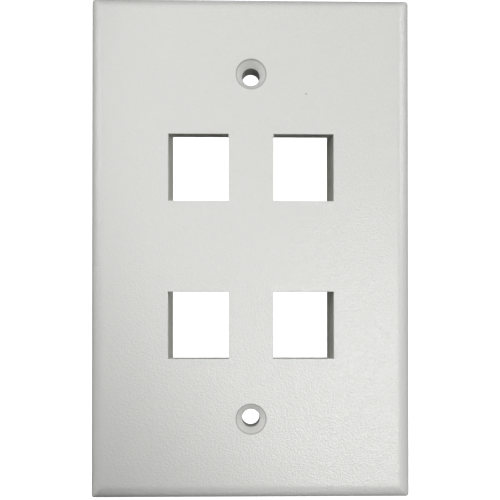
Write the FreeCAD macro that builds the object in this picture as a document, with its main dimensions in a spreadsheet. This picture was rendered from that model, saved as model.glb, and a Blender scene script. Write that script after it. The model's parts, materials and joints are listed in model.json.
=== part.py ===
import FreeCAD, Part
import math
import os
import re
import Sketcher

# Keystone faceplate: a one-piece moulded wall plate for four snap-in jacks, two across and two up.
#
# Millimetres. The plate stands as it does on a wall: +Z is up, the front faces -Y, and the origin is
# in the wall plane, at the middle of the screw spacing. A "depth" is the distance behind the front
# face. Each formula below is written in the names of the spreadsheet's sizes.

NODE = "faceplate"

SIZES = [
    # the visible plate
    ("plate_width", 78.9, "outside width at the wall"),
    ("plate_height", 123.4, "outside height at the wall"),
    ("plate_depth", 6.6, "wall plane to front face"),
    ("rim_draft", 1.0, "degrees that the short side of the rim leans in"),
    ("bevel_width", 3.6, "how far the bevel reaches in from the edge"),
    ("bevel_drop", 4.6, "how far the bevel falls from the front face"),
    ("bevel_bulge", 0.7, "how far the bevel's arc stands out from its chord"),
    ("crest_radius", 1.0, "rounding between the flat face and the bevel"),
    ("foot_radius", 0.8, "rounding between the bevel and the side of the rim"),
    ("corner_radius", 0.7, "rounding of the mitred corners"),
    ("edge_break", 0.2, "rounding of the front edges of the openings"),
    # the hollow back
    ("face_thickness", 2.3, "wall behind the flat face"),
    ("rim_wall", 2.2, "thickness of the rim at the wall plane"),
    ("cavity_draft", 2.0, "degrees that the hollow narrows towards the face"),
    ("cavity_corner", 2.5, "corner radius of the hollow"),
    ("cavity_fillet", 1.2, "fillet round the floor of the hollow"),
    # the jack ports
    ("port_width", 14.5, "opening width"),
    ("port_height", 16.1, "opening height at the front face"),
    ("port_pitch_across", 25.4, "port spacing, left to right"),
    ("port_pitch_up", 38.1, "port spacing, bottom to top"),
    ("port_relief", 0.4, "how far top and bottom of the opening each open out towards the back"),
    ("housing_depth", 10.2, "front face to the back of the port housing"),
    ("housing_wall", 1.6, "thickness of the walls of the housing"),
    ("housing_draft", 1.0, "degrees that the housing narrows towards the back"),
    ("housing_corner", 0.8, "rounding of the upright edges of the housing"),
    ("housing_fillet", 0.5, "fillet round the foot of the housing"),
    ("ledge_depth", 8.2, "depth of the two ledges that hold a jack"),
    ("hook_wall", 6.6, "depth at which the recess for the fixed hook of a jack starts"),
    ("hook_recess", 2.0, "how far that recess reaches below the opening"),
    ("latch_wall", 2.9, "depth at which the recess for the latch of a jack starts"),
    ("latch_recess", 4.4, "how far that recess reaches above the opening"),
    ("latch_lip", 2.0, "how far the lip reaches down behind the latch recess"),
    ("lead_in", 0.8, "chamfer that guides a jack in from behind"),
    # the screws
    ("screw_pitch", 83.34, "screw spacing of a single-gang box"),
    ("screw_hole", 4.3, "clearance hole diameter"),
    ("countersink", 7.5, "countersink diameter at the front face"),
    ("countersink_angle", 82.0, "degrees, the included angle of an oval-head screw"),
    ("boss_diameter", 8.6, "screw boss diameter at its end"),
    ("boss_gap", 1.1, "how far the boss stops short of the wall plane"),
    ("boss_draft", 1.5, "degrees that the boss narrows towards its end"),
    # the stiffening ribs
    ("rib_thickness", 1.2, "thickness at the root"),
    ("rib_gap", 1.6, "how far the ribs stop short of the wall plane"),
    ("rib_draft", 1.0, "degrees that each side of a rib leans in"),
    # the marks of the ejector pins
    ("pin_mark", 5.0, "diameter of a mark on the floor of the hollow"),
    ("pin_mark_depth", 0.15, "how deep the pins sank in"),
    ("pin_spread_across", 58.0, "spacing of the two columns of pins"),
    ("pin_spread_up", 46.0, "spacing of the pins in a column"),
]

OVERSHOOT = 5.0  # how far a cutting shape runs past the plate
SAME_PLACE = 0.001  # two places closer than this are one
QUARTER_TURN, HALF_TURN = 90, 180  # degrees
START, END, CENTRE = 1, 2, 3  # the points of a line or an arc, as Sketcher counts them
HORIZONTAL_AXIS, VERTICAL_AXIS = -1, -2
# the ribs stand in line with the side walls of the port housings
OUTER_RIB_LINE = "(port_pitch_across / 2 + port_width / 2 + housing_wall / 2)"
INNER_RIB_LINE = "(port_pitch_across / 2 - port_width / 2 - housing_wall / 2)"
EVEN_SPACING = -1.0  # in a pattern's list of spacings: use the pattern's one offset

doc = FreeCAD.newDocument("KeystoneFaceplate")


def make_sheet():
    """The spreadsheet of driving dimensions: one named number on each row, with its meaning beside it."""
    sizes = doc.addObject("Spreadsheet::Sheet", "Sizes")
    for row, (alias, value, meaning) in enumerate(SIZES, start=1):
        sizes.set(f"A{row}", str(value))
        sizes.setAlias(f"A{row}", alias)
        sizes.set(f"B{row}", meaning)
    doc.recompute()
    return sizes


sheet = make_sheet()
ALIASES = {alias for alias, _, _ in SIZES}


def formula(text):
    """A formula in size names, as FreeCAD wants it: each name is pointed at the spreadsheet."""
    return re.sub(r"[a-z_]+", lambda word: f"Sizes.{word[0]}" if word[0] in ALIASES else word[0], text)


def value_of(text):
    """The number that a formula gives now."""
    return float(sheet.evalExpression(formula(text)))


def drive(thing, what, text):
    """Let a formula drive one property or one sketch dimension."""
    thing.setExpression(what, formula(text))


# ---------------------------------------------------------------- sketches


def origin_item(role):
    """One of the body's own planes or axes."""
    return next(item for item in body.Origin.OriginFeatures if item.Role == role)


def make_sketch(name, plane, offset="0", turn=0):
    """A sketch on one of the body's own planes, moved along the plane's normal and turned in it."""
    sketch = body.newObject("Sketcher::SketchObject", name)
    sketch.AttachmentSupport = [(origin_item(plane), "")]
    sketch.MapMode = "FlatFace"
    turned = FreeCAD.Rotation(FreeCAD.Vector(0, 0, 1), turn)
    sketch.AttachmentOffset = FreeCAD.Placement(FreeCAD.Vector(), turned)
    drive(sketch, "AttachmentOffset.Base.z", offset)
    return sketch


def make_back_sketch(name, depth):
    """A sketch seen from the front, at a depth behind the front face: x runs across and y up."""
    return make_sketch(name, "XZ_Plane", offset=f"plate_depth - ({depth})")


def make_upright_section(name, across="0"):
    """A sketch of a section along Z: x runs up the plate and y from the wall plane to the front."""
    return make_sketch(name, "YZ_Plane", offset=across, turn=QUARTER_TURN)


def make_level_section(name):
    """A sketch of a section along X: x runs across the plate and y from the wall plane to the front."""
    return make_sketch(name, "XY_Plane", turn=HALF_TURN)


def point(across, up):
    return FreeCAD.Vector(across, up, 0)


def arc_from(centre, radius, start, end):
    """A counter-clockwise arc between two directions, in radians."""
    return Part.ArcOfCircle(Part.Circle(centre, FreeCAD.Vector(0, 0, 1), radius), start, end)


def constrain(sketch, kind, *terms, by=None):
    """Add a constraint, and let a formula drive it where one is given."""
    index = sketch.addConstraint(Sketcher.Constraint(kind, *terms))
    if by is not None:
        drive(sketch, f"Constraints[{index}]", by)


def pin(sketch, geometry, end, across, up):
    """Hold a point of a sketch at two formulas."""
    constrain(sketch, "DistanceX", HORIZONTAL_AXIS, START, geometry, end, value_of(across), by=across)
    constrain(sketch, "DistanceY", HORIZONTAL_AXIS, START, geometry, end, value_of(up), by=up)


def draw_outline(sketch, corners):
    """A closed outline of straight lines, with each corner held at two formulas."""
    first = sketch.GeometryCount
    places = [point(value_of(across), value_of(up)) for across, up in corners]
    count = len(places)
    for i in range(count):
        sketch.addGeometry(Part.LineSegment(places[i], places[(i + 1) % count]))
    for i, (across, up) in enumerate(corners):
        constrain(sketch, "Coincident", first + i, END, first + (i + 1) % count, START)
        pin(sketch, first + i, START, across, up)


def draw_rectangle(sketch, left, right, bottom, top):
    draw_outline(sketch, [(left, bottom), (right, bottom), (right, top), (left, top)])


def draw_circle(sketch, across, up, diameter):
    middle = point(value_of(across), value_of(up))
    radius = value_of(diameter) / 2
    circle = sketch.addGeometry(Part.Circle(middle, FreeCAD.Vector(0, 0, 1), radius))
    pin(sketch, circle, CENTRE, across, up)
    constrain(sketch, "Diameter", circle, 2 * radius, by=diameter)


def draw_rounded_rectangle(sketch, left, right, bottom, top, radius):
    """A rectangle with round corners: four arcs held by their centres, and the lines that join them."""
    round_by = value_of(radius)
    corners = [
        (f"{right} - {radius}", f"{bottom} + {radius}"),
        (f"{right} - {radius}", f"{top} - {radius}"),
        (f"{left} + {radius}", f"{top} - {radius}"),
        (f"{left} + {radius}", f"{bottom} + {radius}"),
    ]
    arcs = []
    for quarter, (across, up) in enumerate(corners):
        middle = point(value_of(across), value_of(up))
        start = (quarter - 1) * math.pi / 2
        arcs.append(sketch.addGeometry(arc_from(middle, round_by, start, start + math.pi / 2)))
        pin(sketch, arcs[-1], CENTRE, across, up)
        constrain(sketch, "Radius", arcs[-1], round_by, by=radius)
    for arc, following in zip(arcs, arcs[1:] + arcs[:1]):
        line = Part.LineSegment(sketch.getPoint(arc, END), sketch.getPoint(following, START))
        joint = sketch.addGeometry(line)
        constrain(sketch, "Tangent", arc, END, joint, START)
        constrain(sketch, "Tangent", joint, END, following, START)


# ---------------------------------------------------------------- the bevelled section


def mirrored_arc(arc):
    """The same arc on the other side of the sketch's vertical axis."""
    centre = point(-arc.Center.x, arc.Center.y)
    return arc_from(centre, arc.Radius, math.pi - arc.LastParameter, math.pi - arc.FirstParameter)


def direction(from_point, to_point):
    """The angle of the line between two points, in radians."""
    return math.atan2(to_point.y - from_point.y, to_point.x - from_point.x)


def bevel_start(span):
    """Where the arcs of one side start out, so that the sketch's solver has nothing to guess."""
    half, depth, width, drop, bulge = (
        value_of(text) for text in (f"{span} / 2", "plate_depth", "bevel_width", "bevel_drop", "bevel_bulge")
    )
    crest, foot, lean = value_of("crest_radius"), value_of("foot_radius"), math.radians(value_of("rim_draft"))
    top = point(half - width, depth)
    bottom = point(half - (depth - drop) * math.tan(lean), depth - drop)
    chord = bottom - top
    radius = chord.Length**2 / (8 * bulge) + bulge / 2
    outward = point(-chord.y, chord.x).normalize()
    centre = (top + bottom) / 2 - outward * (radius - bulge)
    crest_centre = point(0, depth - crest)
    crest_centre.x = centre.x + math.sqrt((radius - crest) ** 2 - (crest_centre.y - centre.y) ** 2)
    # the foot's centre lies one foot radius inside the side of the rim, on a line parallel to it
    along = point(-math.sin(lean), math.cos(lean))
    inside = point(half, 0) - point(math.cos(lean), math.sin(lean)) * foot
    reach = (inside - centre).dot(along)
    gap = (inside - centre).Length ** 2 - (radius - foot) ** 2
    foot_centre = inside + along * (math.sqrt(reach**2 - gap) - reach)
    foot_turn = direction(centre, foot_centre)
    crest_turn = direction(centre, crest_centre)
    return [
        arc_from(foot_centre, foot, lean, foot_turn),
        arc_from(centre, radius, foot_turn, crest_turn),
        arc_from(crest_centre, crest, crest_turn, math.pi / 2),
    ]


def draw_bevelled_section(sketch, span):
    """The plate cut through: wall plane, leaning sides, foot, bevel and crest arcs, and the flat face."""
    right = bevel_start(span)
    left = [mirrored_arc(arc) for arc in reversed(right)]
    half = value_of(f"{span} / 2")
    wall_left, wall_right = point(-half, 0), point(half, 0)
    chain = [Part.LineSegment(wall_left, wall_right), Part.LineSegment(wall_right, right[0].StartPoint)]
    chain += right
    chain += [Part.LineSegment(right[-1].EndPoint, left[0].StartPoint)]
    chain += left
    chain += [Part.LineSegment(left[-1].EndPoint, wall_left)]
    for piece in chain:
        sketch.addGeometry(piece)
    wall, side, foot, bevel, crest, face, far_crest, far_bevel, far_foot, far_side = range(len(chain))
    pin(sketch, wall, START, f"-{span} / 2", "0")
    pin(sketch, wall, END, f"{span} / 2", "0")
    constrain(sketch, "Coincident", wall, END, side, START)
    for piece, following in ((side, foot), (foot, bevel), (bevel, crest), (crest, face)):
        constrain(sketch, "Tangent", piece, END, following, START)
    far_chain = [face, far_crest, far_bevel, far_foot, far_side, wall]
    for piece, following in zip(far_chain, far_chain[1:]):
        constrain(sketch, "Coincident", piece, END, following, START)
    for piece, far_piece in ((side, far_side), (foot, far_foot), (bevel, far_bevel), (crest, far_crest)):
        constrain(sketch, "Symmetric", piece, END, far_piece, START, VERTICAL_AXIS)
    for piece, far_piece in ((foot, far_foot), (bevel, far_bevel), (crest, far_crest)):
        constrain(sketch, "Equal", piece, far_piece)
    lean = "(90 + rim_draft)"
    constrain(sketch, "Angle", side, math.radians(value_of(lean)), by=f"{lean} * 1deg")
    constrain(sketch, "Radius", crest, right[2].Radius, by="crest_radius")
    constrain(sketch, "Radius", foot, right[0].Radius, by="foot_radius")
    side_drop = "(plate_depth - bevel_drop) * tan(rim_draft * 1deg)"
    chord = f"((bevel_width - {side_drop}) ^ 2 + bevel_drop ^ 2)"
    constrain(sketch, "Radius", bevel, right[1].Radius, by=f"{chord} / (8 * bevel_bulge) + bevel_bulge / 2")
    # the two sharp corners that the roundings replace lie on the bevel's circle
    for across, up in (
        (f"{span} / 2 - bevel_width", "plate_depth"),
        (f"{span} / 2 - {side_drop}", "plate_depth - bevel_drop"),
    ):
        corner = sketch.addGeometry(Part.Point(point(value_of(across), value_of(up))), True)
        pin(sketch, corner, START, across, up)
        constrain(sketch, "PointOnObject", corner, START, bevel)
    depth = value_of("plate_depth")
    constrain(sketch, "DistanceY", HORIZONTAL_AXIS, START, face, START, depth, by="plate_depth")


# ---------------------------------------------------------------- features


def settle(feature, adds):
    """Recompute, and stop if the feature did nothing, as a cut that points the wrong way does."""
    before = volumes[-1]
    doc.recompute()
    volumes.append(feature.Shape.Volume)
    change = volumes[-1] - before
    print(f"{feature.Name}: {change:+.1f} mm3")
    if change * (1 if adds else -1) <= 0:
        raise RuntimeError(f"{feature.Name} changed the volume by {change:.3f} mm3")
    return feature


def extrude(kind, name, sketch, length=None, symmetric=False, flip=False, draft=None):
    """A Pad or a Pocket of a sketch, to a length or through everything, narrowing by a draft angle."""
    feature = body.newObject(f"PartDesign::{kind}", name)
    feature.Profile = sketch
    feature.Reversed = flip
    if symmetric:
        feature.SideType = "Symmetric"
    if length is None:
        feature.Type = "ThroughAll"
    else:
        drive(feature, "Length", length)
    if draft is not None:
        drive(feature, "TaperAngle", f"-{draft} * 1deg")
    return settle(feature, adds=kind == "Pad")


def fillet(name, edges, radius, adds):
    """Round some edges of the body as it stands."""
    base = body.Tip
    feature = body.newObject("PartDesign::Fillet", name)
    feature.Base = (base, edges)
    drive(feature, "Radius", radius)
    return settle(feature, adds)


def mirror(name, originals, plane):
    """Repeat features on the other side of one of the body's planes."""
    feature = body.newObject("PartDesign::Mirrored", name)
    feature.Originals = originals
    feature.MirrorPlane = (origin_item(plane), [""])
    body.Tip = feature
    return settle(feature, adds=True)


def edges_where(test):
    """The names of the body's edges whose middle passes a test."""
    names = []
    for i, edge in enumerate(body.Tip.Shape.Edges, start=1):
        if test(edge.valueAt((edge.FirstParameter + edge.LastParameter) / 2)):
            names.append(f"Edge{i}")
    return names


def near(one, other):
    return abs(one - other) < SAME_PLACE


def on_flat(place, depth, margin):
    """Is a place at a depth behind the front face, and further in from the edge than a margin?"""
    return (
        near(place.y, value_of(f"({depth}) - plate_depth"))
        and abs(place.x) < value_of(f"plate_width / 2 - ({margin})") - SAME_PLACE
        and abs(place.z) < value_of(f"plate_height / 2 - ({margin})") - SAME_PLACE
    )


# ---------------------------------------------------------------- the faceplate, step by step


def make_outside():
    """The bevelled block: one bevelled section runs across, and is cut down to the other one."""
    upright = make_upright_section("UprightSection")
    draw_bevelled_section(upright, "plate_height")
    extrude("Pad", "PlateBlock", upright, length="plate_width", symmetric=True)
    level = make_level_section("LevelSection")
    draw_bevelled_section(level, "plate_width")
    beyond = f"(plate_width / 2 + {OVERSHOOT})"
    draw_rectangle(level, f"-{beyond}", beyond, f"-{OVERSHOOT}", f"plate_depth + {OVERSHOOT}")
    extrude("Pocket", "SideBevels", level, symmetric=True)
    half_width, half_height = value_of("plate_width / 2"), value_of("plate_height / 2")
    mitres = edges_where(lambda place: near(half_width - abs(place.x), half_height - abs(place.z)))
    fillet("MitredCorners", mitres, "corner_radius", adds=False)


def make_hollow():
    """The hollow back inside the rim, drafted and filleted as a mould core leaves it."""
    sketch = make_back_sketch("HollowOutline", "plate_depth")
    half_width = "(plate_width / 2 - rim_wall)"
    half_height = "(plate_height / 2 - rim_wall)"
    draw_rounded_rectangle(
        sketch, f"-{half_width}", half_width, f"-{half_height}", half_height, "cavity_corner"
    )
    depth = "plate_depth - face_thickness"
    extrude("Pocket", "Hollow", sketch, length=depth, flip=True, draft="cavity_draft")
    floor = edges_where(lambda place: on_flat(place, "face_thickness", "rim_wall"))
    fillet("HollowFloorFillet", floor, "cavity_fillet", adds=True)


def make_ports():
    """The jack ports: one housing, cut out by the section that holds a jack, repeated two by two."""
    across, up = "-port_pitch_across / 2", "-port_pitch_up / 2"
    half_width = "(port_width / 2 + housing_wall)"
    opening_top = f"({up} + port_height / 2)"
    opening_bottom = f"({up} - port_height / 2)"
    housing = make_back_sketch("HousingOutline", "face_thickness")
    draw_rounded_rectangle(
        housing,
        f"{across} - {half_width}",
        f"{across} + {half_width}",
        f"{opening_bottom} - hook_recess - housing_wall",
        f"{opening_top} + latch_recess + housing_wall",
        "housing_corner",
    )
    block = extrude(
        "Pad", "Housing", housing, length="housing_depth - face_thickness", flip=True, draft="housing_draft"
    )

    def upper(depth):
        """The top of the opening at a depth."""
        return f"{opening_top} + port_relief * ({depth}) / housing_depth"

    def lower(depth):
        return f"{opening_bottom} - port_relief * ({depth}) / housing_depth"

    front, back = f"-{OVERSHOOT}", f"housing_depth + {OVERSHOOT}"
    latch_top = f"{opening_top} + latch_recess"
    lip_edge = f"{opening_top} + latch_recess - latch_lip"
    hook_bottom = f"{opening_bottom} - hook_recess"
    lip_end = "housing_depth - lead_in"
    section = [
        (lower(front), front),
        (upper(front), front),
        (upper("latch_wall"), "latch_wall"),
        (latch_top, "latch_wall"),
        (latch_top, "ledge_depth"),
        (lip_edge, "ledge_depth"),
        (lip_edge, lip_end),
        (f"{lip_edge} + lead_in", "housing_depth"),
        (f"{lip_edge} + lead_in", back),
        (f"{lower('housing_depth')} - lead_in", back),
        (f"{lower('housing_depth')} - lead_in", "housing_depth"),
        (lower(lip_end), lip_end),
        (lower("ledge_depth"), "ledge_depth"),
        (hook_bottom, "ledge_depth"),
        (hook_bottom, "hook_wall"),
        (lower("hook_wall"), "hook_wall"),
    ]
    profile = make_upright_section("PortSection", across=across)
    draw_outline(profile, [(height, f"plate_depth - ({depth})") for height, depth in section])
    opening = extrude("Pocket", "PortOpening", profile, length="port_width", symmetric=True)
    grid = body.newObject("PartDesign::LinearPattern", "PortGrid")
    grid.Originals = [block, opening]
    grid.Direction = (origin_item("X_Axis"), [""])
    grid.Direction2 = (origin_item("Z_Axis"), [""])
    grid.Mode = grid.Mode2 = "Spacing"
    grid.Occurrences = grid.Occurrences2 = 2
    grid.Spacings2 = [EVEN_SPACING]
    drive(grid, "Offset", "port_pitch_across")
    drive(grid, "Offset2", "port_pitch_up")
    body.Tip = grid
    settle(grid, adds=True)
    feet = edges_where(lambda place: on_flat(place, "face_thickness", "rim_wall + 2 * cavity_fillet"))
    fillet("HousingFeet", feet, "housing_fillet", adds=True)


def make_rib(name, left, right, bottom, top):
    """A straight rib on the floor of the hollow."""
    sketch = make_back_sketch(f"{name}Outline", "face_thickness")
    draw_rectangle(sketch, left, right, bottom, top)
    height = "plate_depth - face_thickness - rib_gap"
    return extrude("Pad", name, sketch, length=height, flip=True, draft="rib_draft")


def make_upright_rib(name, line, length):
    """A rib that runs up and down about the middle of the plate."""
    half = "rib_thickness / 2"
    return make_rib(name, f"{line} - {half}", f"{line} + {half}", f"-{length} / 2", f"{length} / 2")


def make_column_ribs():
    """Ribs in line with the side walls of the housings: long ones outside, short ones between."""
    outer = make_upright_rib("OuterRib", OUTER_RIB_LINE, "screw_pitch")
    inner = make_upright_rib("InnerRib", INNER_RIB_LINE, "port_pitch_up")
    mirror("ColumnRibs", [outer, inner], "YZ_Plane")


def make_screw_mounts():
    """A cross rib, a drafted boss and a countersunk hole at the top, repeated at the bottom."""
    line, half = "screw_pitch / 2", "rib_thickness / 2"
    left, right = f"-{OUTER_RIB_LINE}", OUTER_RIB_LINE
    rib = make_rib("CrossRib", left, right, f"{line} - {half}", f"{line} + {half}")
    height = "(plate_depth - face_thickness - boss_gap)"
    root = make_back_sketch("BossOutline", "face_thickness")
    draw_circle(root, "0", line, f"boss_diameter + 2 * {height} * tan(boss_draft * 1deg)")
    boss = extrude("Pad", "Boss", root, length=height, flip=True, draft="boss_draft")
    axis = make_back_sketch("ScrewCentre", "0")
    draw_circle(axis, "0", line, "screw_hole")
    hole = body.newObject("PartDesign::Hole", "ScrewHole")
    hole.Profile = axis
    doc.recompute()
    hole.DepthType = "ThroughAll"
    hole.HoleCutType = "Countersink"
    hole.HoleCutCustomValues = True
    drive(hole, "Diameter", "screw_hole")
    drive(hole, "HoleCutDiameter", "countersink")
    drive(hole, "HoleCutCountersinkAngle", "countersink_angle * 1deg")
    settle(hole, adds=False)
    mirror("ScrewMounts", [rib, boss, hole], "XY_Plane")


def make_pin_marks():
    """The six shallow rounds where the mould's ejector pins pushed the warm plate out."""
    marks = make_back_sketch("PinCircles", "face_thickness")
    for across in ("-pin_spread_across / 2", "pin_spread_across / 2"):
        for up in ("-pin_spread_up", "0", "pin_spread_up"):
            draw_circle(marks, across, up, "pin_mark")
    extrude("Pocket", "PinMarks", marks, length="pin_mark_depth", flip=True)


def break_front_edges():
    """The small rounding round every opening in the flat face."""
    edges = edges_where(lambda place: on_flat(place, "0", "bevel_width + crest_radius"))
    fillet("FrontEdges", edges, "edge_break", adds=False)


body = doc.addObject("PartDesign::Body", "Faceplate")
body.Label = NODE
body.Placement = FreeCAD.Placement()
volumes = [0.0]
make_outside()
make_hollow()
make_ports()
make_column_ribs()
make_screw_mounts()
make_pin_marks()
break_front_edges()

for item in doc.Objects:
    if {"Invalid", "Error"} & set(item.State):
        raise RuntimeError(f"{item.Name} is {item.State}")
if body.Shape.isNull() or not body.Shape.isValid() or len(body.Shape.Solids) != 1:
    raise RuntimeError(f"{NODE} is not one sound solid")
os.makedirs("parts", exist_ok=True)
body.Shape.exportStep(f"parts/{body.Label}.step")
extent = body.Shape.BoundBox
print(f"{NODE}: {extent.XLength:.2f} x {extent.YLength:.2f} x {extent.ZLength:.2f} mm,"
      f" {body.Shape.Volume:.0f} mm3, {len(body.Shape.Faces)} faces")
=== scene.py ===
# %% [markdown]
# # A keystone faceplate, dressed for the camera
#
# The object is a one-piece wall plate moulded in off-white ABS. It has four openings for snap-in
# network jacks and two countersunk screw holes. The solid comes from CAD with its exact sizes, and
# nothing is added to its shape. What is left for Blender is what makes plastic look like plastic: the
# grain of the mould, the sheen, the light and the place of the camera.

import json
import math

import bmesh
import bpy
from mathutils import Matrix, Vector


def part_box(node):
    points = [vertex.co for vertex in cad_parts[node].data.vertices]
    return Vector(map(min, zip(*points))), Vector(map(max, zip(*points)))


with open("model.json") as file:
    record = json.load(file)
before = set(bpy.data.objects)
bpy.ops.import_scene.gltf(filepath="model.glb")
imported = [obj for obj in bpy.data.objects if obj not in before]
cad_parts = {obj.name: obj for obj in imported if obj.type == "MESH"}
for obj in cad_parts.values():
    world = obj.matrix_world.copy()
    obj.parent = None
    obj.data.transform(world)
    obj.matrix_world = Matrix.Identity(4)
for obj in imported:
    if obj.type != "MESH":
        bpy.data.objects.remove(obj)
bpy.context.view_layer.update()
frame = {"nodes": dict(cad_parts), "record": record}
plate = frame["nodes"]["faceplate"]
MM = 0.001  # Blender works in metres, and a maker thinks in millimetres
low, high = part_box("faceplate")
print(f"the plate measures {[round(side / MM, 2) for side in high - low]} mm")

# %% [markdown]
# ## Colours
#
# Paint charts and screens give colours as sRGB hex codes, while the renderer adds up light in linear
# numbers. One function turns the first into the second, so that every colour below can be read as hex.


# %% One function for colours
def linear_colour(hex_code):
    """A colour such as #FFFFFF as linear red, green, blue and an alpha of 1."""
    channels = [int(hex_code[place : place + 2], 16) / 255 for place in (1, 3, 5)]
    return [c / 12.92 if c <= 0.04045 else ((c + 0.055) / 1.055) ** 2.4 for c in channels] + [1.0]


WHITE = linear_colour("#FFFFFF")
print("white is", WHITE)

# %% [markdown]
# ## Building a material from nodes
#
# A material is a small network: each node makes or mixes a pattern, and links carry the results on.
# One helper adds a node, fills in its settings and makes its links, so that each line below reads as
# one step of the recipe.


# %% One function for nodes
def add_node(tree, kind, settings=None, links=None):
    """Add a node. Settings name its own properties or its sockets, and links name sockets too."""
    node = tree.nodes.new(kind)
    for name, value in (settings or {}).items():
        if isinstance(name, str) and hasattr(node, name):
            setattr(node, name, value)
        else:
            node.inputs[name].default_value = value
    for name, source in (links or {}).items():
        tree.links.new(source, node.inputs[name])
    return node


def new_material(name):
    """An empty material that is made of nodes."""
    material = bpy.data.materials.new(name)
    material.use_nodes = True
    material.node_tree.nodes.clear()
    return material


print("a helper for nodes is ready")

# %% [markdown]
# ## Arithmetic on the surface
#
# The marks that a mould leaves, and the painted shade, have their places on the plate, such as round
# the screw holes or inside the ports. A shader finds those places by arithmetic on the surface's own
# coordinates, which are the CAD coordinates in metres: X to the right, Y into the wall and Z up. The
# helpers below do one step of arithmetic, fade a mask from 1 to 0 as a value grows, and mask a
# rectangle or measure a distance.

# %% Functions for masks
SOFT_EDGE = 1 * MM


def calculate(tree, operation, *terms):
    """One step of arithmetic on sockets and plain numbers."""
    node = add_node(tree, "ShaderNodeMath", {"operation": operation})
    for place, term in enumerate(terms):
        if isinstance(term, bpy.types.NodeSocket):
            tree.links.new(term, node.inputs[place])
        else:
            node.inputs[place].default_value = term
    return node.outputs["Value"]


def up_to(tree, value, full, none):
    """A mask that is 1 where a value is below full, 0 where it is above none, and soft between."""
    ramp = {"From Min": full, "From Max": none, "To Min": 1.0, "To Max": 0.0}
    settings = {"interpolation_type": "SMOOTHSTEP", **ramp}
    return add_node(tree, "ShaderNodeMapRange", settings, {"Value": value}).outputs["Result"]


def inside_rectangle(tree, across, up, half_width, half_height):
    """A mask that is 1 inside a rectangle round the middle of the plate."""
    sides = up_to(tree, calculate(tree, "ABSOLUTE", across), half_width, half_width + SOFT_EDGE)
    ends = up_to(tree, calculate(tree, "ABSOLUTE", up), half_height, half_height + SOFT_EDGE)
    return calculate(tree, "MULTIPLY", sides, ends)


def distance_across(tree, first, second):
    """The length of a step that goes so far one way and so far the other."""
    squares = (calculate(tree, "MULTIPLY", first, first), calculate(tree, "MULTIPLY", second, second))
    return calculate(tree, "SQRT", calculate(tree, "ADD", *squares))


print("four helpers for masks are ready")

# %% [markdown]
# ## Painted shade on the walls inside the ports
#
# White plastic is a little clear. In a wall under 2 mm thick, part of the light goes through and is
# lost, so the wall looks darker and warmer than the face. Subsurface scattering could work that out,
# but it is slow and noisy for so small an effect. Here the shade is painted instead: a mask picks the
# walls that run straight back inside the hollow of the plate, whose size the imported record gives,
# and darkens their colour. Floors are left out, since the light from above makes up what they lose.
# Ceilings get the least light of all, and a mask of painted shade of their own.

# %% The thin walls
openings = {opening["name"]: opening["box_m"] for opening in frame["record"]["physics"]["openings"]}
HOLLOW_ACROSS, _, HOLLOW_UP = openings["hollow_top"][1]  # its upper right corner
STRAIGHT_BACK, SLANTED = 0.3, 0.6  # how much of a surface's direction points forwards or backwards
LEVEL, TILTED = -0.8, -0.5  # the Z of a surface that is level and faces down, and of one that isn't


def mask_straight_walls(tree, facing):
    """Surfaces that run straight back from the face."""
    return up_to(tree, calculate(tree, "ABSOLUTE", facing), STRAIGHT_BACK, SLANTED)


def mask_inner_walls(tree, across, up, facing):
    """Straight walls inside the hollow of the plate, with their floors and ceilings."""
    hollow = inside_rectangle(tree, across, up, HOLLOW_ACROSS, HOLLOW_UP)
    return calculate(tree, "MULTIPLY", hollow, mask_straight_walls(tree, facing))


def mask_painted_wall_shade(tree, inner_walls, rising):
    """Those inner walls that aren't floors, which get painted shade."""
    floors = up_to(tree, calculate(tree, "SUBTRACT", 0.0, rising), LEVEL, TILTED)
    return calculate(tree, "MULTIPLY", inner_walls, calculate(tree, "SUBTRACT", 1.0, floors))


def mask_ceilings(tree, inner_walls, rising):
    """Those inner walls that face down, which get more painted shade."""
    return calculate(tree, "MULTIPLY", inner_walls, up_to(tree, rising, LEVEL, TILTED))


print(f"the hollow reaches {HOLLOW_ACROSS / MM:.1f} mm to each side and {HOLLOW_UP / MM:.1f} mm up and down")

# %% [markdown]
# ## Lines and painted shade in the screw holes
#
# A steel pin shapes each screw hole, and the molten plastic creeps a hair's breadth into the joint
# between the pin and the rest of the mould. What it leaves is a fine line that holds shade. Modelled,
# it would cost many small faces, so its shade is only painted, as a grey ring. The hole itself is deep
# and narrow, and its wall gets painted shade. How far apart the holes stand, and how wide they are,
# is in the record.

# %% The screw holes
screws = next(mount for mount in frame["record"]["mounts"] if mount["name"] == "box_screws")
SCREW_HEIGHT = screws["dims"]["spacing_y_mm"] / 2 * MM
HOLE_RADIUS = screws["dims"]["hole_r_mm"] * MM
LINE_RADIUS = 3.6 * MM  # just inside the edge of the countersink
LINE_WIDTH = 0.1 * MM
HOLE_EDGE, HOLE_END = 1.05 * HOLE_RADIUS, 1.2 * HOLE_RADIUS  # the shade fades from one to the other


def distance_from_screw(tree, across, up):
    """How far a point is from the middle line of the nearer screw hole."""
    from_screw = calculate(tree, "SUBTRACT", calculate(tree, "ABSOLUTE", up), SCREW_HEIGHT)
    return distance_across(tree, across, from_screw)


def mask_pin_line_shade(tree, across, up):
    """A fine ring of painted shade in each of the two countersinks."""
    from_line = calculate(tree, "SUBTRACT", distance_from_screw(tree, across, up), LINE_RADIUS)
    return up_to(tree, calculate(tree, "ABSOLUTE", from_line), LINE_WIDTH / 2, 2 * LINE_WIDTH)


def mask_screw_hole_shade(tree, across, up, facing):
    """The straight wall of each screw hole, which gets painted shade."""
    near = up_to(tree, distance_from_screw(tree, across, up), HOLE_EDGE, HOLE_END)
    return calculate(tree, "MULTIPLY", near, mask_straight_walls(tree, facing))


print(f"the screw holes are {SCREW_HEIGHT / MM:.2f} mm above and below the middle")

# %% [markdown]
# ## A speck
#
# Plastic that stays too long in the hot barrel of the machine burns, and now and then a grain of it
# comes through. One small dark speck, up and to the right, keeps the plate from looking too perfect.

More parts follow.
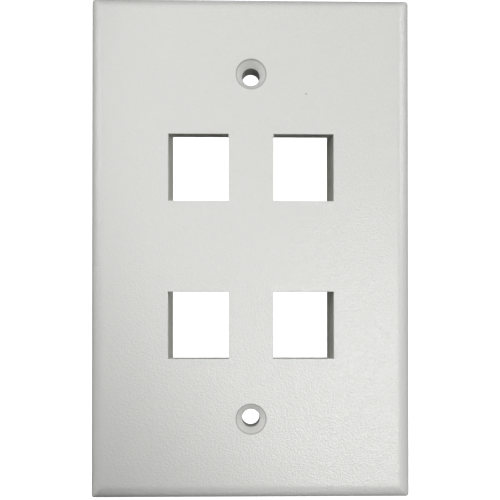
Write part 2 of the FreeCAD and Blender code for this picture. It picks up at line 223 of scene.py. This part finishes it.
# %% The speck
SPECK_ACROSS, SPECK_UP = 13.3 * MM, 36.9 * MM
SPECK_RADIUS = 0.15 * MM


def mask_speck(tree, across, up):
    """One small speck in the face."""
    sideways = calculate(tree, "SUBTRACT", across, SPECK_ACROSS)
    upwards = calculate(tree, "SUBTRACT", up, SPECK_UP)
    return up_to(tree, distance_across(tree, sideways, upwards), SPECK_RADIUS, 2 * SPECK_RADIUS)


print(f"the speck is {2 * SPECK_RADIUS / MM:.1f} mm across")

# %% [markdown]
# ## The colour of the plastic
#
# The plate is injection-moulded ABS, coloured right through with titanium white. On its own ABS is
# ivory, and the pigment leaves a trace of that warmth. The masks lay the other tones over it: first
# the painted shade of the inner walls, then the painted shade of the ceilings and screw holes, and
# last the grey of the lines, which is painted shade too, and of the speck. A mask times a strength
# lays a tone on more thinly.

# %% Layers of colour
ABS_COLOUR = "#E4E4E1"  # off-white, a little warm
PAINTED_WALL_SHADE_COLOUR = "#C5C6BE"  # painted shade: the same plastic where light leaks out of a thin wall inside the ports
SHADE_COLOUR = "#A2A29C"  # the same plastic where little light gets in
CEILING_SHADE = 0.7  # how much of that shade a ceiling takes
PIN_SHADE_AND_SPECK_COLOUR = "#8E8C86"  # painted shade in a fine line, and the colour of a burnt speck
LINE_STRENGTH = 0.6  # how much of it they take


def tint(tree, colour, mask, other):
    """Lay another colour over a colour where a mask says so."""
    node = add_node(tree, "ShaderNodeMix", {"data_type": "RGBA"})
    tree.links.new(mask, node.inputs["Factor"])
    colours = [socket for socket in node.inputs if socket.type == "RGBA"]
    if isinstance(colour, str):
        colours[0].default_value = linear_colour(colour)
    else:
        tree.links.new(colour, colours[0])
    colours[1].default_value = linear_colour(other)
    return next(socket for socket in node.outputs if socket.type == "RGBA")


def layer_colours(tree, across, up, facing, rising, show_side):
    """The plain plastic, then painted shade on the inner walls, ceilings and screw holes, then the small
    marks on the show side.
    """
    inner_walls = mask_inner_walls(tree, across, up, facing)
    colour = tint(tree, ABS_COLOUR, mask_painted_wall_shade(tree, inner_walls, rising), PAINTED_WALL_SHADE_COLOUR)
    ceilings = calculate(tree, "MULTIPLY", mask_ceilings(tree, inner_walls, rising), CEILING_SHADE)
    for shade in (ceilings, mask_screw_hole_shade(tree, across, up, facing)):
        colour = tint(tree, colour, shade, SHADE_COLOUR)
    for mark in (mask_pin_line_shade(tree, across, up), mask_speck(tree, across, up)):
        shown = calculate(tree, "MULTIPLY", mark, show_side)
        colour = tint(tree, colour, calculate(tree, "MULTIPLY", shown, LINE_STRENGTH), PIN_SHADE_AND_SPECK_COLOUR)
    return colour


print("the tones of the plastic are", ABS_COLOUR, PAINTED_WALL_SHADE_COLOUR, SHADE_COLOUR, "and", PIN_SHADE_AND_SPECK_COLOUR)

# %% [markdown]
# ## The sheen
#
# ABS has a refractive index of about 1.54. How sharply it reflects depends on the mould: a polished
# one gives a gloss with a roughness near 0.1, and a spark-eroded one a satin near 0.3. A slow noise
# changes the roughness a little from place to place, as the mould wears and the plastic flows.

# %% A satin that varies
ABS_IOR = 1.54
ABS_ROUGHNESS = 0.31
ROUGHNESS_CHANGE = 0.06  # from the smoothest patch to the roughest
SMOOTHEST = ABS_ROUGHNESS - ROUGHNESS_CHANGE / 2
PATCH_SIZE = 12 * MM


def vary_roughness(tree, surface):
    """The roughness of the satin, with slow patches."""
    patches = add_node(tree, "ShaderNodeTexNoise", {"Scale": 1 / PATCH_SIZE}, {"Vector": surface})
    return calculate(tree, "MULTIPLY_ADD", patches.outputs["Fac"], ROUGHNESS_CHANGE, SMOOTHEST)


print(f"the roughness goes from {SMOOTHEST:.2f} to {SMOOTHEST + ROUGHNESS_CHANGE:.2f}")

# %% [markdown]
# ## Soft edges
#
# No edge of a moulding is quite sharp, and each catches a thread of light. The widest is the crest,
# where the flat face rolls over into the bevel. CAD gives it a radius, and the spark that cut the
# mould rounded it further. The bevel node bends the surface's direction near an edge without any new
# faces. It takes a wide radius beyond the middle of the face, and a narrow one everywhere else.

# %% Rounded edges
EDGE_RADIUS = 0.12 * MM
CREST_RADIUS = 1.5 * MM
CREST_ACROSS, CREST_UP = 33 * MM, 55 * MM  # the crest lies beyond these
FORWARDS, SIDEWAYS = -0.6, -0.4  # the Y of a surface that still faces the front, and of one that doesn't
BEVEL_SAMPLES = 8


def round_edges(tree, across, up, facing):
    """The surface's direction, softened at the edges."""
    middle = inside_rectangle(tree, across, up, CREST_ACROSS, CREST_UP)
    border = calculate(tree, "SUBTRACT", 1.0, middle)
    crest = calculate(tree, "MULTIPLY", border, up_to(tree, facing, FORWARDS, SIDEWAYS))
    radius = calculate(tree, "MULTIPLY_ADD", crest, CREST_RADIUS - EDGE_RADIUS, EDGE_RADIUS)
    bevel = add_node(tree, "ShaderNodeBevel", {"samples": BEVEL_SAMPLES}, {"Radius": radius})
    return bevel.outputs["Normal"]


print(f"edges are rounded to {EDGE_RADIUS / MM} mm, and the crest to {CREST_RADIUS / MM} mm")

# %% [markdown]
# ## The grain
#
# Both halves of the mould leave their mark. The front half is spark-eroded, which covers the show
# side in tiny craters: the face looks soft and even, and sparkles where a light glances off it. The
# back half is only polished, so the back is smoother. Craters are rounder than scratches or weave,
# and a plain noise with little detail is enough like them to serve as a bump.

# %% A spark-eroded grain
GRAIN_SIZE = 0.38 * MM  # real craters are nearer 0.15 mm, drawn coarser so that they show
GRAIN_DEPTH = 0.12 * MM  # drawn deeper too, in step with their size
BACK_DEPTH = 0.25 * GRAIN_DEPTH
GRAIN_DETAIL = {"Detail": 1.0, "Roughness": 0.5}  # one finer layer, half as strong, over the coarse one


def erode_surface(tree, surface, show_side, direction):
    """A bump of fine craters, full on the show side and weak on the back."""
    noise = {"Scale": 1 / GRAIN_SIZE, **GRAIN_DETAIL}
    grain = add_node(tree, "ShaderNodeTexNoise", noise, {"Vector": surface})
    depth = calculate(tree, "MULTIPLY_ADD", show_side, GRAIN_DEPTH - BACK_DEPTH, BACK_DEPTH)
    height = calculate(tree, "MULTIPLY", grain.outputs["Fac"], depth)
    settings = {"Strength": 1.0, "Distance": 1.0}
    return add_node(tree, "ShaderNodeBump", settings, {"Height": height, "Normal": direction})


print(f"one millimetre holds {MM / GRAIN_SIZE:.1f} grains")

# %% [markdown]
# ## The moulded ABS
#
# Now the parts come together. Two nodes take the reading of the surface apart: where it is, and which
# way it faces. The show side is whatever faces forwards, which the Y of that direction tells.

# %% The moulded ABS
SHOW_SIDE, BACK_SIDE = -0.3, 0.1  # the Y of a direction on the show side, and on the back


def make_moulded_abs():
    """Off-white ABS with the grain, painted shade inside the ports and screw holes, and the small marks of
    its mould.
    """
    material = new_material("moulded_abs")
    tree = material.node_tree
    reading = add_node(tree, "ShaderNodeTexCoord")
    surface = reading.outputs["Object"]
    place = add_node(tree, "ShaderNodeSeparateXYZ", {}, {"Vector": surface})
    side = add_node(tree, "ShaderNodeSeparateXYZ", {}, {"Vector": reading.outputs["Normal"]})
    across, up = place.outputs["X"], place.outputs["Z"]
    facing, rising = side.outputs["Y"], side.outputs["Z"]
    show_side = up_to(tree, facing, SHOW_SIDE, BACK_SIDE)
    bump = erode_surface(tree, surface, show_side, round_edges(tree, across, up, facing))
    parts = {
        "Base Color": layer_colours(tree, across, up, facing, rising, show_side),
        "Roughness": vary_roughness(tree, surface),
        "Normal": bump.outputs["Normal"],
    }
    plastic = add_node(tree, "ShaderNodeBsdfPrincipled", {"IOR": ABS_IOR}, parts)
    add_node(tree, "ShaderNodeOutputMaterial", {}, {"Surface": plastic.outputs["BSDF"]})
    return material


moulded_abs = make_moulded_abs()
plate.material_slots[0].material = moulded_abs
print(f"{moulded_abs.name} has {len(moulded_abs.node_tree.nodes)} nodes")

# %% [markdown]
# ## The light tent
#
# A small white object shows best inside a light tent: a white floor that curves up into white walls
# and a roof, so that there is no horizon and no corner. Its shape is one profile turned round the
# upright axis, as a potter turns a bowl. The plate stands on the floor by its lower edge.

# %% The floor, walls and roof
FLOOR = low.z
TENT_RADIUS = 900 * MM
TENT_BEND = 500 * MM  # radius of the sweep between the floor and the walls
TENT_HEIGHT = 1300 * MM
BEND_STEPS, TURN_STEPS = 24, 96
QUARTER_TURN = 90
MERGE_DISTANCE = 0.01 * MM  # points nearer than this become one, such as those on the upright axis


def draw_tent_profile():
    """Points along the floor, up the sweep and over the roof, as (radius, height)."""
    flat = TENT_RADIUS - TENT_BEND
    roof = TENT_HEIGHT - TENT_BEND
    turns = [math.radians(QUARTER_TURN * step / BEND_STEPS) for step in range(1, BEND_STEPS + 1)]
    sweep = [(flat + TENT_BEND * math.sin(turn), TENT_BEND * (1 - math.cos(turn))) for turn in turns]
    dome = [(TENT_RADIUS * math.cos(turn), TENT_BEND + roof * math.sin(turn)) for turn in turns]
    return [(0.0, 0.0), (flat, 0.0)] + sweep + dome


def make_light_tent():
    """The profile, turned once round."""
    mesh = bmesh.new()
    points = [mesh.verts.new((radius, 0.0, height)) for radius, height in draw_tent_profile()]
    edges = [mesh.edges.new(pair) for pair in zip(points, points[1:])]
    turn = {"axis": (0, 0, 1), "cent": (0, 0, 0), "angle": math.tau, "steps": TURN_STEPS}
    bmesh.ops.spin(mesh, geom=points + edges, use_duplicate=False, **turn)
    bmesh.ops.remove_doubles(mesh, verts=mesh.verts, dist=MERGE_DISTANCE)
    for face in mesh.faces:
        face.smooth = True
    data = bpy.data.meshes.new("light_tent")
    mesh.to_mesh(data)
    mesh.free()
    tent = bpy.data.objects.new("light_tent", data)
    bpy.context.collection.objects.link(tent)
    tent.location = (0.0, 0.0, FLOOR)
    return tent


tent = make_light_tent()
print(f"the tent is {2 * TENT_RADIUS / MM:.0f} mm across and has {len(tent.data.polygons)} faces")

# %% [markdown]
# ## The cloth of the tent
#
# Translucent white cloth glows evenly when lamps shine on it from outside. Emission stands in for
# that glow. The lamps below stand outside the tent and shine through it, so the cloth casts no
# shadow. Nor does it light the plate or show in its sheen, so that each lamp can be set by itself.

# %% White cloth
CLOTH_COLOUR = "#F2F2F2"
CLOTH_GLOW = 1.0


def make_tent_cloth():
    """Matte white cloth with a glow of its own."""
    material = new_material("tent_cloth")
    tree = material.node_tree
    look = {"Base Color": linear_colour(CLOTH_COLOUR), "Roughness": 1.0}
    glow = {"Emission Color": WHITE, "Emission Strength": CLOTH_GLOW}
    cloth = add_node(tree, "ShaderNodeBsdfPrincipled", {**look, **glow})
    add_node(tree, "ShaderNodeOutputMaterial", {}, {"Surface": cloth.outputs["BSDF"]})
    return material


tent.data.materials.append(make_tent_cloth())
tent.visible_diffuse = False
tent.visible_glossy = False
tent.visible_shadow = False
print(f"the cloth glows at {CLOTH_GLOW}")

# %% [markdown]
# ## The soft lamps
#
# A white plate on white needs gentle shading, or its bevel melts into its face. The main light is a
# broad lamp in front, a little to the left and above. A smaller one on each side catches only the
# bevels there, and a weak one below lifts the lower bevel. Three more stand behind: they light the
# back, and what comes through the ports brightens their walls. Those three are left out of the
# sheen, because a wall that is seen at a glancing angle would mirror them as a white glare. Each lamp
# is placed by its bearing from the plate, in degrees to the right of straight ahead and degrees up,
# all at one distance.

# %% Soft lamps
LAMP_DISTANCE = 1000 * MM
SOFT_LAMPS = {
    # name: (degrees right, degrees up, width, watts)
    "front": (-18, 18, 1000 * MM, 5.3),
    "left": (-80, 20, 500 * MM, 2.8),
    "right": (80, 20, 500 * MM, 3.0),
    "below": (0, -88, 500 * MM, 1.5),
    "behind": (180, 15, 400 * MM, 4.0),
    "behind right": (140, 15, 500 * MM, 5.4),
    "behind left": (-140, 15, 500 * MM, 0.7),
}


def bearing(right, up):
    """The direction of a lamp that is so many degrees right of straight ahead, and so many up."""
    right, up = math.radians(right), math.radians(up)
    return Vector((math.sin(right) * math.cos(up), -math.cos(right) * math.cos(up), math.sin(up)))


def place_lamp(name, light, direction, target):
    """Stand a light off in a direction, and turn it to face its target."""
    lamp = bpy.data.objects.new(name, light)
    lamp.location = target + direction * LAMP_DISTANCE
    lamp.rotation_euler = (-direction).to_track_quat("-Z", "Y").to_euler()
    lamp.visible_camera = False
    bpy.context.collection.objects.link(lamp)
    return lamp


for name, (right, up, width, watts) in SOFT_LAMPS.items():
    light = bpy.data.lights.new(name, "AREA")
    light.size = width
    light.energy = watts
    lamp = place_lamp(name, light, bearing(right, up), Vector((0, 0, 0)))
    lamp.visible_glossy = "behind" not in name
print(f"{len(SOFT_LAMPS)} soft lamps stand {LAMP_DISTANCE / MM:.0f} mm from the plate")

# %% [markdown]
# ## The spotlight
#
# The last lamp is a spotlight with a soft edge, to the right and a little below. It is aimed past the
# right edge of the plate, so only the lower left corner falls outside its pool and shades off, as a
# desk lamp would leave it. It also glances off the face and picks out the grain there.

# %% A spotlight with a soft edge
SPOT_BEARING = (13, -10)
SPOT_TARGET = Vector((85 * MM, 0, 28 * MM))
SPOT_RADIUS = 142 * MM  # of the whole pool of light, measured on the plate
SPOT_CORE = 122 * MM  # of the part of it that is fully lit
SPOT_SIZE = 30 * MM  # of the lamp itself: the larger it is, the softer its shadows
SPOT_WATTS = 16.5
spot = bpy.data.lights.new("spot", "SPOT")
spot.energy = SPOT_WATTS
spot.shadow_soft_size = SPOT_SIZE
spot.spot_size = 2 * math.atan(SPOT_RADIUS / LAMP_DISTANCE)
spot.spot_blend = 1 - SPOT_CORE / SPOT_RADIUS
place_lamp("spot", spot, bearing(*SPOT_BEARING), SPOT_TARGET)
print(f"the spotlight's cone is {math.degrees(spot.spot_size):.1f} degrees wide")

# %% [markdown]
# ## The room
#
# Whatever the lamps miss sees a dim white room, so that no hollow goes quite black.

# %% A dim room
ROOM_GLOW = 0.01
room = bpy.data.worlds.new("room")
room.use_nodes = True
background = room.node_tree.nodes["Background"]
background.inputs["Color"].default_value = WHITE
background.inputs["Strength"].default_value = ROOM_GLOW
bpy.context.scene.world = room
print(f"the room glows at {ROOM_GLOW}")

# %% [markdown]
# ## The camera
#
# The camera looks straight at the plate from close by, as one does with a phone in the hand. From
# there each port shows a strip of the wall on its far side, and the upper ports and screw hole show
# their ceilings, because the camera is level with the lower half. So near, a small step changes those
# strips a great deal. Tilting the camera up to frame the whole plate would make its sides converge:
# the lens is shifted upwards instead, as architects' lenses are, and the sides stay parallel.

# %% The camera
CAMERA_DISTANCE = 131.6 * MM  # from the front face
CAMERA_ACROSS, CAMERA_UP = -3.0 * MM, -16.9 * MM
CAMERA_PITCH, CAMERA_YAW = 0.4, 0.8  # degrees up and to the right
LEVEL_VIEW = 90  # degrees: a camera at rest looks straight down
SENSOR_WIDTH, FOCAL_LENGTH = 36, 39.35  # the two lengths that Blender takes in millimetres
SHIFT_ACROSS, SHIFT_UP = 0.0075, 0.125  # of the lens, in widths of the picture
NEAREST = 1 * MM  # nothing nearer than this is drawn
lens = bpy.data.cameras.new("camera")
lens.sensor_width, lens.lens = SENSOR_WIDTH, FOCAL_LENGTH
lens.shift_x, lens.shift_y = SHIFT_ACROSS, SHIFT_UP
lens.clip_start = NEAREST
camera = bpy.data.objects.new("camera", lens)
camera.location = (CAMERA_ACROSS, low.y - CAMERA_DISTANCE, CAMERA_UP)
camera.rotation_euler = (math.radians(LEVEL_VIEW + CAMERA_PITCH), 0.0, math.radians(-CAMERA_YAW))
bpy.context.collection.objects.link(camera)
bpy.context.scene.camera = camera
bpy.context.scene.view_settings.view_transform = "Standard"
print(f"the lens sees {math.degrees(lens.angle):.0f} degrees")
